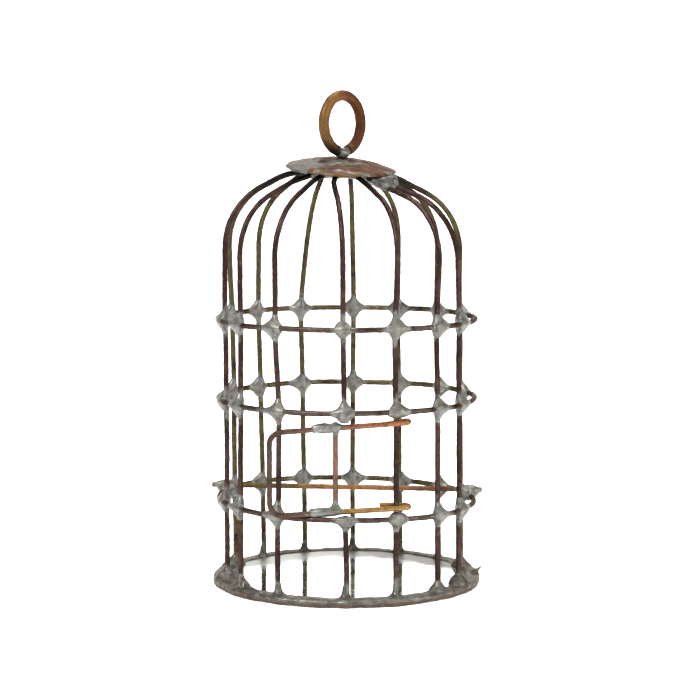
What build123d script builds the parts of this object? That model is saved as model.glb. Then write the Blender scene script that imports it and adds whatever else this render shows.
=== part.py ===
"""Small soldered wire bird cage: a domed cage of copper wire on a round mirror base, with a swinging door.

Millimetres, +Z up, origin at the centre of the base's underside. The front of the cage, with the door,
faces -Y. An azimuth is measured round the cage from the front towards +X, in degrees.
"""

import os
from math import acos, asin, cos, degrees, radians, sin, sqrt

from build123d import *

# ---- driving dimensions -------------------------------------------------------------------------

WIRE = 1.02  # diameter of the cage wire, 18 AWG
RING_WIRE = 2.05  # diameter of the hanging ring's wire, 12 AWG
BAR_CIRCLE = 23.6  # radius of the circle that the bars stand on
WIRE_GAP = 0.08  # solder film between a bar and the hoop outside it
HOOP_CIRCLE = BAR_CIRCLE + WIRE + WIRE_GAP

GLASS_RADIUS = 25.4  # a round 2 inch craft mirror
GLASS_THICK = 1.0
GLASS_BEVEL = 0.15
BACKING_THICK = 0.1
BACKING_GAP = 0.05  # between the paint and the foil's lap
FOIL_THICK = 0.1
FOIL_LAP = 2.2  # how far the foil folds over each face of the mirror
RIM_RADIUS = 26.0
RIM_INNER = 22.7
RIM_ROUND = 0.4  # how far the rim's rounded side draws in at its top and bottom
RIM_SLOPE = 0.35  # and its top edge on the mirror side
RIM_UNDER = 0.2  # solder under the foil, which the cage stands on
SEAT_HEIGHT = 1.6  # flat top of the rim, where the bars stand

UPPER_HOOP = 51.3
MIDDLE_HOOP = 36.0
LOWER_HOOP = 16.25
LOWER_HOOP_TILT = 0.9  # degrees, +X side down
HOOP_SEAMS = {"upper": 131.0, "middle": 202.2, "lower": 226.0}  # azimuth where each hoop's ends meet
SEAM_GAP = 0.3
GROOVE_SPAN = 8.0  # degrees of hoop either side of a joint that its groove is cut with

CAP_CENTRE = Vector(-1.15, 0, 79.55)  # centre of the cap's rim
CAP_RADIUS = 10.65
CAP_RISE = 2.0
CAP_THICK = 0.5
CAP_EDGE = 0.18  # radius of the disc's worn edge
CAP_TILT = 5.3  # degrees, front edge down
CAP_ROLL = 3.5  # degrees, +X edge down

RING_CENTRE = Vector(-0.8, 0, 88.6)
RING_CIRCLE = 5.33  # radius of the ring wire's centreline
RING_TURN = 49.0  # degrees, how far the ring is turned from facing the front
RING_GAP = 28.0  # degrees of the ring left open at the bottom

SHOULDER_RADIUS = 13.0
EAVES_RADIUS = 9.0  # gentle bend where a bar runs in under the cap
LEAN_RADIUS = 60.0
BAR_END = 4.3  # where the bars stop, measured from the cap's centre
BAR_END_HEIGHT = 79.5

PERCH_HALF = 26.6
PERCH_BACK_LEFT = 6.6  # how far behind the centre the perch crosses the hoop, at its left end
PERCH_BACK_RIGHT = 5.5
PERCH_BEAD_RADIUS = 1.45
PERCH_BEAD_SEAM = -45.0  # degrees, which turns the ball's seam away from both wires and the cut

HINGE_SLACK = 0.10  # radial room between the hinge bar and the door's loops
DOOR_AJAR = 4.5  # degrees from the cage's X axis, where the door rests outside the lower hoop
DOOR_LENGTH = 23.4  # hinge axis to the free side
DOOR_CORNER = 2.3
LOOP_REACH = 2.3  # how far the loop's round end stands past the hinge bar
LOOP_INSIDE = 0.03  # straight left between the two quarter turns of a loop
# The corners of the door's one wire: distance from the hinge bar towards the free side, whether it runs
# inside or outside that bar, and height.
INSIDE, OUTSIDE = -1, 1
DOOR_WIRE = [
    (1.7, INSIDE, 33.5),
    (-LOOP_REACH, INSIDE, 34.25),
    (-LOOP_REACH, OUTSIDE, 34.1),
    (DOOR_LENGTH, OUTSIDE, 32.45),
    (DOOR_LENGTH, OUTSIDE, 17.05),
    (-LOOP_REACH, OUTSIDE, 18.3),
    (-LOOP_REACH, INSIDE, 18.4),
    (2.9, INSIDE, 18.5),
]
DOOR_BAR_ALONG = 11.2  # place of the door's upright wire
DOOR_BAR_GAP = 0.06  # solder film between the upright and the rails in front of it
DOOR_BAR_ENDS = (17.0, 34.2)
# Each bead that holds the upright: its height, its place along the rail, half length and radius.
DOOR_BEADS = {
    "door_solder_top": (33.22, 13.2, 2.1, 0.95),
    "door_solder_bottom": (17.72, 13.0, 2.2, 0.8),
}
DOOR_BEAD_IN = 0.35  # how far a bead's middle lies behind its rail's
FRONT_GAP_TOP = 34.05  # the front bar's upper length ends here, above the door
FRONT_GAP_BOTTOM = 16.95  # and its lower length starts again here, below the door

# One row for each bar: azimuth at the foot, at the middle hoop, at the upper hoop and at the shoulder,
# then the shoulder corner's height, and the azimuth and height where the bar passes under the cap's edge.
BARS = {
    "bar_01_front": (0.0, -1.0, -1.5, -1.6, 71.7, -7, 77.7),
    "bar_02_hinge": (22.8, 22.8, 22.0, 24.3, 71.7, 28, 77.3),
    "bar_03": (46.5, 45.8, 44.8, 48.5, 72.0, 50, 76.9),
    "bar_04": (64.5, 64.0, 63.5, 61.5, 72.0, 65, 77.0),
    "bar_05": (106.5, 109.0, 110.2, 110.0, 71.6, 106, 78.5),
    "bar_06": (128.5, 129.5, 131.0, 129.5, 71.6, 128, 78.9),
    "bar_07": (152.5, 153.5, 154.5, 153.0, 71.6, 149, 79.0),
    "bar_08": (177.2, 177.0, 176.7, 177.4, 71.6, 170, 79.0),
    "bar_09": (201.2, 202.2, 203.5, 197.5, 72.4, 199, 78.8),
    "bar_10": (225.0, 226.8, 228.2, 228.0, 71.6, 226, 78.8),
    "bar_11": (249.0, 250.2, 251.5, 259.0, 72.6, 253, 79.1),
    "bar_12": (283.0, 284.0, 282.0, 280.0, 73.0, 280, 79.1),
    "bar_13": (302.0, 302.5, 303.0, 301.5, 71.8, 301, 77.6),
    "bar_14_door_side": (327.0, 328.0, 326.2, 326.5, 72.0, 332, 78.0),
}

# How far each solder joint runs along its wires: up, down, left and right of the crossing. Joints that
# are not listed take USUAL_REACH. The short ones leave the door's loops and bar free to pass, and make
# room for the beads at the perch's ends.
USUAL_REACH = (2.3, 2.2, 2.0, 2.0)
JOINT_REACH = {
    ("middle", "bar_02_hinge"): (2.6, 0.98, 2.0, 2.2),
    ("lower", "bar_02_hinge"): (1.3, 2.6, 1.8, 1.9),
    ("middle", "bar_01_front"): (2.2, 1.6, 1.7, 1.7),
    ("lower", "bar_01_front"): (0.55, 2.3, 1.8, 1.8),
    ("lower", "bar_14_door_side"): (2.6, 2.2, 1.9, 1.7),
    ("lower", "bar_05"): (2.3, 2.2, 1.25, 2.0),
    ("lower", "bar_11"): (2.3, 2.2, 2.0, 1.25),
}
JOINT_CORE = 1.2  # radius of the round middle of a joint
JOINT_THICK = 1.5
JOINT_WEB = 1.3  # thickness of the web between its arms
JOINT_WAIST = 0.36  # how hollow the web's sides are: 0.5 is straight
PERCH_BEAD_EDGE = 1.8  # distance from the bar beside it where a perch bead is cut off, clear of its joint
RING_SOLDER_RADIUS = 1.5
RING_SOLDER_UP = 1.2  # its centre, above the top of the cap's dish
FOOT_RADIUS = 1.5
FOOT_HEIGHT = 2.6
FOOT_FILM = 0.07  # thickness at the top of a foot's cone
FOOT_WAIST = (0.28, 0.75)  # thickness a little above the rim, and that height
PUDDLE_HEIGHT = 79.7  # solder under the cap, over the bars' ends
PUDDLE_RADIUS = 6.4
PUDDLE_HALF = 2.1
EDGE_LUMP = Vector(6.9, -5.4, 77.7)  # the lump where the solder has run out at the cap's front right
EDGE_LUMP_RADIUS = 1.9
EDGE_LUMP_HALF = 1.0

HALF = WIRE / 2


# ---- helpers ------------------------------------------------------------------------------------


def around(radius, azimuth, height, centre=Vector(0, 0, 0)):
    """The point at that azimuth and radius about a vertical axis through centre."""
    a = radians(azimuth)
    return Vector(centre.X + radius * sin(a), centre.Y - radius * cos(a), height)


def dome_arc(top, radius, rise):
    """Half the profile of a spherical dome, from its top on the axis out to its edge, rise below the top."""
    ball = (radius**2 + rise**2) / (2 * abs(rise))
    half = degrees(asin(radius / ball))
    if rise > 0:
        return CenterArc((top[0], top[1] - ball), ball, 90 - half, half)
    return CenterArc((top[0], top[1] + ball), ball, -90, half)


def save(solid, name):
    """Labels a finished piece and writes it."""
    solid.label = name
    export_step(solid, f"parts/{name}.step")


def wire_path(points, radii):
    """The corners of a path and their radii, less the corners that hardly turn."""
    kept, kept_radii = [points[0]], []
    for before, here, after, radius in zip(points, points[1:], points[2:], radii):
        turn = (here - before).get_angle(after - here)
        if turn > 0.25:
            kept.append(here)
            kept_radii.append(radius)
    return [*kept, points[-1]], kept_radii


def bent_wire(points, radii, diameter=WIRE):
    """A round wire along straight runs joined by arcs."""
    corners, corner_radii = wire_path(points, radii)
    with BuildPart() as wire:
        with BuildLine() as path:
            if corner_radii:
                FilletPolyline(*corners, radius=corner_radii)
            else:
                Line(*corners)
        with BuildSketch(Plane(origin=path.line @ 0, z_dir=path.line % 0)):
            Circle(diameter / 2)
        sweep(path=path.line)
    return wire.part


# ---- base ---------------------------------------------------------------------------------------

glass_bottom = RIM_UNDER + FOIL_THICK
glass_top = glass_bottom + GLASS_THICK


def make_mirror_glass():
    with BuildPart() as glass:
        with BuildSketch(Plane.XY.offset(glass_bottom)):
            Circle(GLASS_RADIUS)
        extrude(amount=GLASS_THICK)
        chamfer(glass.faces().sort_by(Axis.Z)[-1].edges(), GLASS_BEVEL)
    return glass.part


def make_mirror_backing():
    """The paint over the silvering, inside the foil's lap."""
    with BuildPart() as backing:
        with BuildSketch(Plane.XY.offset(glass_bottom - BACKING_THICK)):
            Circle(GLASS_RADIUS - FOIL_LAP - BACKING_GAP)
        extrude(amount=BACKING_THICK)
    return backing.part


def make_edge_foil(glass):
    """Copper foil wrapped round the mirror's edge and folded over both faces."""
    outer = GLASS_RADIUS + FOIL_THICK
    with BuildPart() as foil:
        with BuildSketch(Plane.XZ):
            with Locations(((GLASS_RADIUS - FOIL_LAP + outer) / 2, glass_bottom + GLASS_THICK / 2)):
                Rectangle(outer - GLASS_RADIUS + FOIL_LAP, GLASS_THICK + 2 * FOIL_THICK)
        revolve(axis=Axis.Z)
        add(glass, mode=Mode.SUBTRACT)
    return foil.part


def make_rim_solder(foil, glass):
    """The coat of solder over the foil: a rounded rim with a flat top, and a flat underside to stand on."""
    inner_under = GLASS_RADIUS - FOIL_LAP
    with BuildPart() as rim:
        with BuildSketch(Plane.XZ):
            with BuildLine():
                Polyline(
                    (inner_under, RIM_UNDER),
                    (inner_under, 0),
                    (RIM_RADIUS - RIM_ROUND, 0),
                )
                ThreePointArc(
                    (RIM_RADIUS - RIM_ROUND, 0),
                    (RIM_RADIUS, SEAT_HEIGHT / 2),
                    (RIM_RADIUS - RIM_ROUND, SEAT_HEIGHT),
                )
                Polyline(
                    (RIM_RADIUS - RIM_ROUND, SEAT_HEIGHT),
                    (RIM_INNER + RIM_SLOPE, SEAT_HEIGHT),
                    (RIM_INNER, glass_top),
                    (inner_under, glass_top),
                    (inner_under, RIM_UNDER),
                )
            make_face()
        revolve(axis=Axis.Z)
        add(foil, mode=Mode.SUBTRACT)
        add(glass, mode=Mode.SUBTRACT)
    return rim.part


# ---- bars ---------------------------------------------------------------------------------------


def bar_points(row):
    """The corners of one bar, from its foot on the rim to its end under the cap."""
    foot, middle, upper, shoulder, corner_height, eaves, eaves_height = row
    return [
        around(BAR_CIRCLE, foot, SEAT_HEIGHT),
        around(BAR_CIRCLE, middle, MIDDLE_HOOP),
        around(BAR_CIRCLE, upper, UPPER_HOOP),
        around(BAR_CIRCLE, shoulder, corner_height),
        around(CAP_RADIUS, eaves, eaves_height, CAP_CENTRE),
        around(BAR_END, eaves, BAR_END_HEIGHT, CAP_CENTRE),
    ]


BAR_RADII = [LEAN_RADIUS, LEAN_RADIUS, SHOULDER_RADIUS, EAVES_RADIUS]


def make_bar(name):
    return bent_wire(bar_points(BARS[name]), BAR_RADII)


def make_front_bar_lengths():
    """The front bar is cut away where the door opens, so it is two separate wires."""
    whole = make_bar("bar_01_front")
    with BuildPart() as upper:
        add(whole)
        split(bisect_by=Plane.XY.offset(FRONT_GAP_TOP), keep=Keep.TOP)
    with BuildPart() as lower:
        add(whole)
        split(bisect_by=Plane.XY.offset(FRONT_GAP_BOTTOM), keep=Keep.BOTTOM)
    return upper.part, lower.part


# ---- hoops and perch ----------------------------------------------------------------------------


def hoop_plane(height, tilt=0.0):
    return Plane.XY.offset(height).rotated((0, tilt, 0))


def make_hoop(plane, seam):
    """A hoop outside the bars, whose two ends butt together inside the solder at azimuth seam."""
    butt = degrees(SEAM_GAP / 2 / HOOP_CIRCLE)
    start = seam - 90 + butt
    with BuildPart() as hoop:
        with BuildLine(plane) as path:
            CenterArc((0, 0), HOOP_CIRCLE, start, 360 - 2 * butt)
        with BuildSketch(Plane(origin=path.line @ 0, z_dir=path.line % 0)):
            Circle(HALF)
        sweep(path=path.line)
    return hoop.part


def make_hoop_length(plane, azimuth):
    """A short length of a hoop, to cut its groove in the solder at that azimuth."""
    with BuildPart() as length:
        with BuildLine(plane) as path:
            CenterArc((0, 0), HOOP_CIRCLE, azimuth - 90 - GROOVE_SPAN, 2 * GROOVE_SPAN)
        with BuildSketch(Plane(origin=path.line @ 0, x_dir=(0, 0, 1), z_dir=path.line % 0)):
            Circle(HALF)
        sweep(path=path.line)
    return length.part


def hoop_height(plane, azimuth):
    """Height of a hoop's centreline at an azimuth."""
    flat = around(HOOP_CIRCLE, azimuth, 0)
    return plane.from_local_coords(flat).Z


def perch_points(lower_plane):
    """The two ends of the perch, which lies across the top of the lower hoop."""
    ends = []
    for side, back in ((-1, PERCH_BACK_LEFT), (1, PERCH_BACK_RIGHT)):
        x = side * sqrt(HOOP_CIRCLE**2 - back**2)
        azimuth = degrees(acos(-back / HOOP_CIRCLE)) * side
        ends.append(Vector(x, back, hoop_height(lower_plane, azimuth) + WIRE + WIRE_GAP))
    left, right = ends
    step = (right - left).normalized()
    return (
        left - step * (PERCH_HALF + left.X) / step.X,
        right + step * (PERCH_HALF - right.X) / step.X,
    )


def make_perch(lower_plane):
    left, right = perch_points(lower_plane)
    return bent_wire([left, right], [])


# ---- cap and hanging ring -----------------------------------------------------------------------

cap_plane = Plane(origin=CAP_CENTRE).rotated((CAP_TILT, CAP_ROLL, 0))


def make_cap():
    """A hammered disc, dished downwards."""
    side = Plane(origin=cap_plane.origin, x_dir=cap_plane.x_dir, z_dir=-cap_plane.y_dir)
    with BuildPart() as cap:
        with BuildSketch(side):
            with BuildLine():
                dome_arc((0, CAP_RISE), CAP_RADIUS, CAP_RISE)
                Line((CAP_RADIUS, 0), (CAP_RADIUS, CAP_THICK))
                dome_arc((0, CAP_RISE + CAP_THICK), CAP_RADIUS, CAP_RISE)
                Line((0, CAP_RISE + CAP_THICK), (0, CAP_RISE))
            make_face()
        revolve(axis=Axis(cap_plane.origin, cap_plane.z_dir))
        fillet(cap.edges().filter_by(GeomType.CIRCLE), CAP_EDGE)
    return cap.part


def make_hanging_ring():
    """A ring of thick wire, left open at the bottom, where it is soldered to the cap."""
    across = Vector(cos(radians(RING_TURN)), sin(radians(RING_TURN)), 0)
    ring_plane = Plane(origin=RING_CENTRE, x_dir=across, z_dir=across.cross(Vector(0, 0, 1)))
    with BuildPart() as ring:
        with BuildLine(ring_plane) as path:
            CenterArc((0, 0), RING_CIRCLE, -90 + RING_GAP / 2, 360 - RING_GAP)
        with BuildSketch(Plane(origin=path.line @ 0, z_dir=path.line % 0)):
            Circle(RING_WIRE / 2)
        sweep(path=path.line)
    return ring.part


# ---- door ---------------------------------------------------------------------------------------

hinge_axis = around(BAR_CIRCLE, BARS["bar_02_hinge"][0], 0)
hinge_offset = HALF + HINGE_SLACK + HALF


def door_point(along, out, height):
    """A point in the door's own plane: along from the hinge bar towards the free side, and outwards."""
    a = radians(DOOR_AJAR)
    forward = Vector(-cos(a), -sin(a), 0)
    outward = Vector(sin(a), -cos(a), 0)
    return Vector(hinge_axis.X, hinge_axis.Y, height) + forward * along + outward * out


def make_door_frame():
    """One wire: a loop round the hinge bar, the top rail, the free side, the bottom rail, and a loop."""
    points = [door_point(along, side * hinge_offset, height) for along, side, height in DOOR_WIRE]
    turn = hinge_offset - LOOP_INSIDE
    return bent_wire(points, [turn, turn, DOOR_CORNER, DOOR_CORNER, turn, turn])


def make_door_bar():
    """The upright soldered behind the door's two rails."""
    behind = hinge_offset - WIRE - DOOR_BAR_GAP
    return bent_wire([door_point(DOOR_BAR_ALONG, behind, height) for height in DOOR_BAR_ENDS], [])


def make_door_solder(height, along, half_length, half_height, frame, bar):
    """A spindle-shaped bead on a rail, beside the upright."""
    centre = door_point(along, hinge_offset - DOOR_BEAD_IN, height)
    rail_way = door_point(1, 0, 0) - door_point(0, 0, 0)
    return make_spindle(Plane(origin=centre, x_dir=rail_way), half_length, half_height, [frame, bar])


# ---- solder -------------------------------------------------------------------------------------


def make_joint(hoop_length, bar, azimuth, height, reach):
    """The solder where a bar crosses a hoop: a round middle and a four-armed web, cut to fit both wires."""
    up, down, left, right = reach
    tips = [(right, 0), (0, up), (-left, 0), (0, -down), (right, 0)]
    middle = around((BAR_CIRCLE + HOOP_CIRCLE) / 2, azimuth, height)
    outward = around(1, azimuth, 0)
    joint_plane = Plane(origin=middle, x_dir=Vector(-outward.Y, outward.X, 0), z_dir=outward)
    with BuildPart() as joint:
        with BuildSketch(joint_plane):
            Circle(JOINT_CORE)
        extrude(amount=JOINT_THICK / 2, both=True)
        with BuildSketch(joint_plane):
            with BuildLine():
                for (x1, y1), (x2, y2) in zip(tips, tips[1:]):
                    waist = ((x1 + x2) * JOINT_WAIST, (y1 + y2) * JOINT_WAIST)
                    ThreePointArc((x1, y1), waist, (x2, y2))
            make_face()
        extrude(amount=JOINT_WEB / 2, both=True)
        for limit, below in ((up, False), (down, True)):
            if limit < JOINT_CORE:
                edge = height + (-limit if below else limit)
                keep = Keep.TOP if below else Keep.BOTTOM
                split(bisect_by=Plane.XY.offset(edge), keep=keep)
        add(hoop_length, mode=Mode.SUBTRACT)
        add(bar, mode=Mode.SUBTRACT)
    return joint.part.solids().sort_by(SortBy.VOLUME)[-1]


def make_foot(bar, azimuth):
    """The hollow-sided cone of solder that holds a bar's foot on the rim."""
    waist, waist_height = FOOT_WAIST
    top = HALF + FOOT_FILM
    with BuildPart() as foot:
        with BuildSketch(Plane.XZ):
            with BuildLine():
                Line((0, 0), (FOOT_RADIUS, 0))
                ThreePointArc((FOOT_RADIUS, 0), (HALF + waist, waist_height), (top, FOOT_HEIGHT))
                Polyline((top, FOOT_HEIGHT), (0, FOOT_HEIGHT), (0, 0))
            make_face()
        revolve(axis=Axis.Z)
    placed = Location(around(BAR_CIRCLE, azimuth, SEAT_HEIGHT)) * foot.part
    with BuildPart() as trimmed:
        add(placed)
        add(bar, mode=Mode.SUBTRACT)
    return trimmed.part.solids().sort_by(SortBy.VOLUME)[-1]


def make_spindle(plane, half_length, half_height, cutters):
    """A bead that is round about its own X axis and pointed at both ends, less the pieces that it holds."""
    with BuildPart() as bead:
        with BuildSketch(plane):
            with BuildLine():
                ThreePointArc((-half_length, 0), (0, half_height), (half_length, 0))
                Line((half_length, 0), (-half_length, 0))
            make_face()
        revolve(axis=Axis(plane.origin, plane.x_dir))
        for cutter in cutters:
            add(cutter, mode=Mode.SUBTRACT)
    return bead.part.solids().sort_by(SortBy.VOLUME)[-1]


def make_puddle(plane, radius, half_height, cutters):
    """A flattened bead that is round about its plane's normal, less the pieces that it holds."""
    side = Plane(origin=plane.origin, x_dir=plane.x_dir, z_dir=-plane.y_dir)
    with BuildPart() as bead:
        with BuildSketch(side):
            with BuildLine():
                dome_arc((0, half_height), radius, half_height)
                dome_arc((0, -half_height), radius, -half_height)
                Line((0, half_height), (0, -half_height))
            make_face()
        revolve(axis=Axis(plane.origin, plane.z_dir))
        for cutter in cutters:
            add(cutter, mode=Mode.SUBTRACT)
    return bead.part.solids().sort_by(SortBy.VOLUME)[-1]


def make_perch_bead(side, back, height, bar_place, perch, hoop_plane):
    """A bead at one end of the perch, where it lies on the hoop, cut off short of the joint behind it."""
    middle = Vector(side * sqrt(HOOP_CIRCLE**2 - back**2), back, height - (WIRE + WIRE_GAP) / 2)
    length = make_hoop_length(hoop_plane, degrees(acos(-back / HOOP_CIRCLE)) * side)
    flat_way = Vector(middle.X - bar_place.X, middle.Y - bar_place.Y, 0).normalized()
    with BuildPart() as bead:
        with Locations(middle):
            Sphere(PERCH_BEAD_RADIUS, rotation=(0, 0, PERCH_BEAD_SEAM))
        add(perch, mode=Mode.SUBTRACT)
        add(length, mode=Mode.SUBTRACT)
        split(bisect_by=Plane(origin=bar_place + flat_way * PERCH_BEAD_EDGE, z_dir=flat_way), keep=Keep.TOP)
    return bead.part.solids().sort_by(SortBy.VOLUME)[-1]


def make_ring_solder(cap, ring):
    """The ball of solder that fills the ring's gap and holds it on the cap."""
    with BuildPart() as ball:
        with Locations((RING_CENTRE.X, 0, CAP_CENTRE.Z + CAP_RISE + RING_SOLDER_UP)):
            Sphere(RING_SOLDER_RADIUS)
        add(cap, mode=Mode.SUBTRACT)
        add(ring, mode=Mode.SUBTRACT)
    return ball.part.solids().sort_by(SortBy.VOLUME)[-1]


# ---- build --------------------------------------------------------------------------------------

os.makedirs("parts", exist_ok=True)

glass = make_mirror_glass()
foil = make_edge_foil(glass)
rim = make_rim_solder(foil, glass)
save(glass, "mirror_glass")
save(make_mirror_backing(), "mirror_backing")
save(foil, "edge_foil")
save(rim, "rim_solder")

bars = {name: make_bar(name) for name in BARS if name != "bar_01_front"}
front_upper, front_lower = make_front_bar_lengths()
for name, bar in bars.items():
    save(bar, name)
save(front_upper, "bar_01_above_door")
save(front_lower, "bar_01_below_door")

planes = {
    "upper": hoop_plane(UPPER_HOOP),
    "middle": hoop_plane(MIDDLE_HOOP),
    "lower": hoop_plane(LOWER_HOOP, LOWER_HOOP_TILT),
}
hoops = {level: make_hoop(plane, HOOP_SEAMS[level]) for level, plane in planes.items()}
for level, hoop in hoops.items():
    save(hoop, f"{level}_hoop")

perch = make_perch(planes["lower"])
save(perch, "perch")

cap = make_cap()
ring = make_hanging_ring()
save(cap, "cap_disc")
save(ring, "hanging_ring")

door_frame = make_door_frame()
door_bar = make_door_bar()
save(door_frame, "door_frame")
save(door_bar, "door_bar")
for name, bead_size in DOOR_BEADS.items():
    save(make_door_solder(*bead_size, door_frame, door_bar), name)


def bar_azimuth(row, height):
    """Azimuth of a bar at a height below the upper hoop."""
    foot, middle, upper = row[:3]
    if height <= MIDDLE_HOOP:
        return foot + (middle - foot) * (height - SEAT_HEIGHT) / (MIDDLE_HOOP - SEAT_HEIGHT)
    return middle + (upper - middle) * (height - MIDDLE_HOOP) / (UPPER_HOOP - MIDDLE_HOOP)


def bar_at(name, level):
    """The solid that crosses a hoop, or stands on the rim, where the bar is called name."""
    if name != "bar_01_front":
        return bars[name]
    return front_lower if level in ("lower", "foot") else front_upper


for level, plane in planes.items():
    joints = []
    for name, row in BARS.items():
        rough = hoop_height(plane, row[1])
        azimuth = bar_azimuth(row, rough)
        height = hoop_height(plane, azimuth)
        reach = JOINT_REACH.get((level, name), USUAL_REACH)
        length = make_hoop_length(plane, azimuth)
        joints.append(make_joint(length, bar_at(name, level), azimuth, height, reach))
    save(Compound(children=joints), f"{level}_hoop_solder")

feet = [make_foot(bar_at(name, "foot"), row[0]) for name, row in BARS.items()]
save(Compound(children=feet), "foot_solder")

perch_beads = []
perch_ends = ((-1, PERCH_BACK_LEFT, "bar_11"), (1, PERCH_BACK_RIGHT, "bar_05"))
for (side, back, name), end in zip(perch_ends, perch_points(planes["lower"])):
    bar_place = around(BAR_CIRCLE, bar_azimuth(BARS[name], end.Z), end.Z)
    perch_beads.append(make_perch_bead(side, back, end.Z, bar_place, perch, planes["lower"]))
save(Compound(children=perch_beads), "perch_solder")

roof = [front_upper, *bars.values()]
puddle_plane = Plane(origin=(CAP_CENTRE.X, 0, PUDDLE_HEIGHT))
puddle = make_puddle(puddle_plane, PUDDLE_RADIUS, PUDDLE_HALF, [cap, *roof])
edge_lump = make_puddle(Plane(origin=EDGE_LUMP), EDGE_LUMP_RADIUS, EDGE_LUMP_HALF, [cap, puddle, *roof])
save(Compound(children=[puddle, edge_lump]), "cap_solder")

save(make_ring_solder(cap, ring), "ring_solder")
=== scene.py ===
import math

import bmesh
import bpy
import numpy as np
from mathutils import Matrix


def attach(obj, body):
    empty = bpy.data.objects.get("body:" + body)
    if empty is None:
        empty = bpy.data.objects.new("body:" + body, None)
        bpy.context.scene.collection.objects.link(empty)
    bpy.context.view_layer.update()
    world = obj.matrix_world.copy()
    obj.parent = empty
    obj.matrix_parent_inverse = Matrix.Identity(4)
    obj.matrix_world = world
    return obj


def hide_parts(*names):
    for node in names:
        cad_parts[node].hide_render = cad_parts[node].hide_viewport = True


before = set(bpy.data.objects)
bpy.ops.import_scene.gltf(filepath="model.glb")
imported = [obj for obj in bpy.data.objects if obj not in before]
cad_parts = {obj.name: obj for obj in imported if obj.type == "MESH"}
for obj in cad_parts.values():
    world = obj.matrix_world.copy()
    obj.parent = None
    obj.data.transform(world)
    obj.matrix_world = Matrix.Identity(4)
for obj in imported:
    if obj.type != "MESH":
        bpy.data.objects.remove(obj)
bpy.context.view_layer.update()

import openvdb
from mathutils import Vector

# Geometry is worked out in millimetres and turned into metres where a mesh is made.
MM = 0.001

# ---- sizes --------------------------------------------------------------------------------------

HOOPS = ("upper_hoop", "middle_hoop", "lower_hoop")
BARS = sorted(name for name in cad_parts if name.startswith("bar_"))
WIRE_RADIUS = 0.51
RING_RADIUS = 1.025
CAP_THICK = 0.5

# Wire: a cut end is blunt, with its edge rounded off.
END_BACK = 0.28         # how far back from the end the rounding starts, in radii
END_RING = 0.985        # the wire's radius there, as a share
END_FACE = 0.72         # the end face's radius, as a share
SWERVE_WAVE = 19        # how long the bends of a hand-straightened wire are
CROSSING_SLACK = 0.3    # how far from a hoop's plane a bar may end and still be joined to it
FOOT_BELOW = 5          # bars that start lower than this stand on the rim
HOOP_STEPS = 460        # points round a hoop

# Solder: how it coats and joins the wires.
SOLDER_FILM = 0.09      # how much thicker a wire is at the middle of a joint
SOLDER_WEB = 2.15       # how widely solder fills the corner between two wires
JOINT_REACH = 2.25      # how far a joint's solder runs along its wires
TINNED_REACH = 2.5      # how far the wires are tinned, past a joint
COAT_CLOSING = 1.4      # how steeply a coat closes into the wire past its reach
NO_SOLDER = 9.0         # a distance that counts as far from any solder
JOINT_VOXEL = 0.13
RIM_VOXEL = 0.17


# ---- reading the frame's wires ------------------------------------------------------------------


def unit(v):
    return v / np.linalg.norm(v)


def cad_mesh(node):
    """Points, in mm, and triangles of a CAD node."""
    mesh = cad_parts[node].data
    mesh.calc_loop_triangles()
    points = np.empty(len(mesh.vertices) * 3)
    mesh.vertices.foreach_get("co", points)
    triangles = np.array([t.vertices[:] for t in mesh.loop_triangles])
    return points.reshape(-1, 3) / MM, triangles


def across(way):
    """Two directions at right angles to way and to each other."""
    helper = np.array([0.0, 0.0, 1.0]) if abs(way[2]) < 0.8 else np.array([1.0, 0.0, 0.0])
    side = unit(np.cross(helper, way))
    return side, np.cross(way, side)


def section_centre(mesh, point, way, radius):
    """Centre of the round section that the plane through point, square to way, cuts from a wire."""
    points, triangles = mesh
    height = (points - point) @ way
    start, end = triangles, np.roll(triangles, -1, axis=1)
    crossing = height[start] * height[end] < 0
    start, end = start[crossing], end[crossing]
    share = height[start] / (height[start] - height[end])
    cut = points[start] + share[:, None] * (points[end] - points[start])
    cut = cut[np.linalg.norm(cut - point, axis=1) < radius * 1.6]
    if len(cut) < 8:
        return None
    side, up = across(way)
    x, y = (cut - point) @ side, (cut - point) @ up
    fit = np.linalg.lstsq(np.c_[2 * x, 2 * y, np.ones(len(x))], x * x + y * y, rcond=None)[0]
    return point + fit[0] * side + fit[1] * up


def follow(node, start, way, radius=WIRE_RADIUS, step=0.3):
    """The centreline of a CAD wire, from start to the wire's end, in even steps."""
    mesh = cad_mesh(node)
    line, turn = [], np.zeros(3)
    point, way = np.array(start, float), unit(np.array(way, float))
    while len(line) < 3000:
        centre = section_centre(mesh, point, way, radius)
        if centre is None:
            break
        if line and np.linalg.norm(centre - line[-1]) > 1e-6:
            new_way = unit(centre - line[-1])
            turn = new_way - way if len(line) > 1 else np.zeros(3)
            way = unit(new_way + 0.5 * turn)
        line.append(centre)
        point = centre + way * step
    near = mesh[0][np.linalg.norm(mesh[0] - line[-1], axis=1) < radius * 1.3]
    rest = ((near - line[-1]) @ way).max()
    if rest > 0.02:
        line.append(line[-1] + way * rest)
    return np.array(line)


def bar_line(node):
    """A bar's centreline, from its lower end up."""
    points, _ = cad_mesh(node)
    foot = points[points[:, 2] < points[:, 2].min() + 0.01].mean(0)
    line = follow(node, foot + (0, 0, 0.05), (0, 0, 1))
    return np.vstack([foot, line])


def both_ways(node, start, way, radius=WIRE_RADIUS, step=0.3):
    """A wire's centreline from end to end, found from a point along it."""
    back = follow(node, start, -np.array(way, float), radius, step)
    onward = follow(node, start, way, radius, step)
    return np.vstack([back[:0:-1], onward])


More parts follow.
